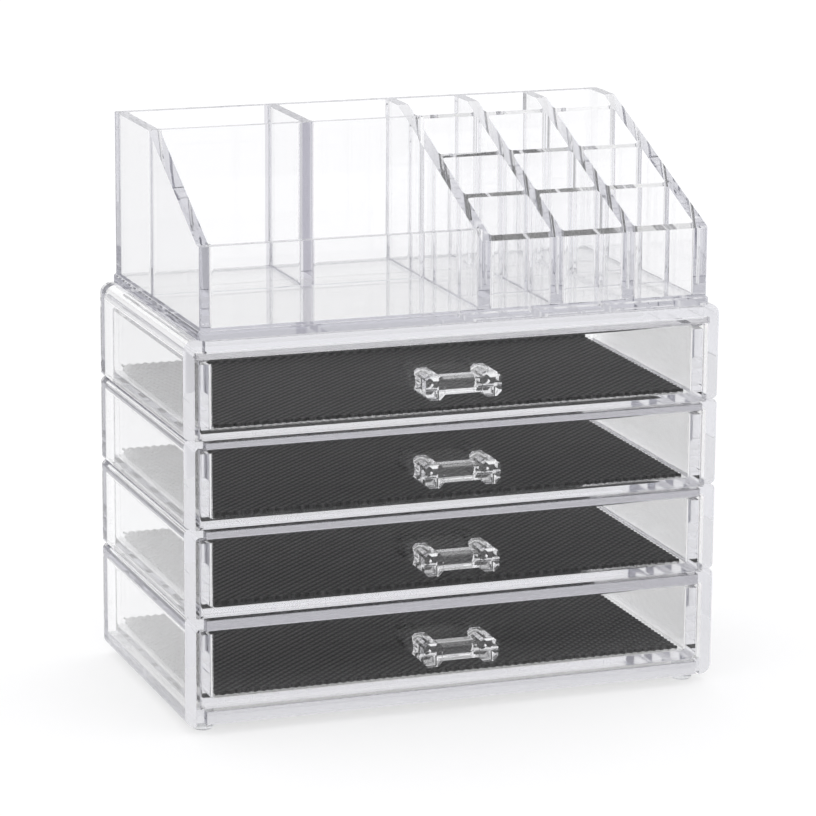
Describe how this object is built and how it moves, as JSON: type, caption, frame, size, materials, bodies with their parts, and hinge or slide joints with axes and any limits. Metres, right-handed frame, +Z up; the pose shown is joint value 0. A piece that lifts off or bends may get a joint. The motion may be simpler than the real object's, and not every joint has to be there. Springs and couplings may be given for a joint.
{
  "type": "acrylic makeup organizer drawers",
  "caption": "Clear countertop chest of stacked lined drawers with bar handles, under a lift-off tray of sloping upright compartments.",
  "frame": {"origin": "on the table under the middle of the outer box, handles included", "axes": "+X to the right as seen from the front, +Y to the back, +Z up; the drawers open towards -Y"},
  "size_m": [0.24, 0.1427, 0.2444],
  "materials": {
    "clear": "clear polished",
    "liner": "matte ribbed mesh",
    "bumper": "clear soft"
  },
  "bodies": {
    "chest": {"base_plate": "clear", "feet": "bumper", "tier_case_1": "clear", "tier_case_2": "clear", "tier_case_3": "clear", "tier_case_4": "clear"},
    "drawer_1": {"drawer_box_1": "clear", "drawer_panel_1": "clear", "handle_1": "clear", "liner_mat_1": "liner"},
    "drawer_2": {"drawer_box_2": "clear", "drawer_panel_2": "clear", "handle_2": "clear", "liner_mat_2": "liner"},
    "drawer_3": {"drawer_box_3": "clear", "drawer_panel_3": "clear", "handle_3": "clear", "liner_mat_3": "liner"},
    "drawer_4": {"drawer_box_4": "clear", "drawer_panel_4": "clear", "handle_4": "clear", "liner_mat_4": "liner"},
    "tray": {"top_tray": "clear"}
  },
  "joints": [
    {"name": "drawer_1_slide", "type": "slide", "parent": "chest", "child": "drawer_1", "axis": [0, -1, 0], "range_m": [0, 0.095]},
    {"name": "drawer_2_slide", "type": "slide", "parent": "chest", "child": "drawer_2", "axis": [0, -1, 0], "range_m": [0, 0.095]},
    {"name": "drawer_3_slide", "type": "slide", "parent": "chest", "child": "drawer_3", "axis": [0, -1, 0], "range_m": [0, 0.095]},
    {"name": "drawer_4_slide", "type": "slide", "parent": "chest", "child": "drawer_4", "axis": [0, -1, 0], "range_m": [0, 0.095]},
    {"name": "tray_lift", "type": "slide", "parent": "chest", "child": "tray", "axis": [0, 0, 1], "range_m": [0, 0.08]}
  ]
}
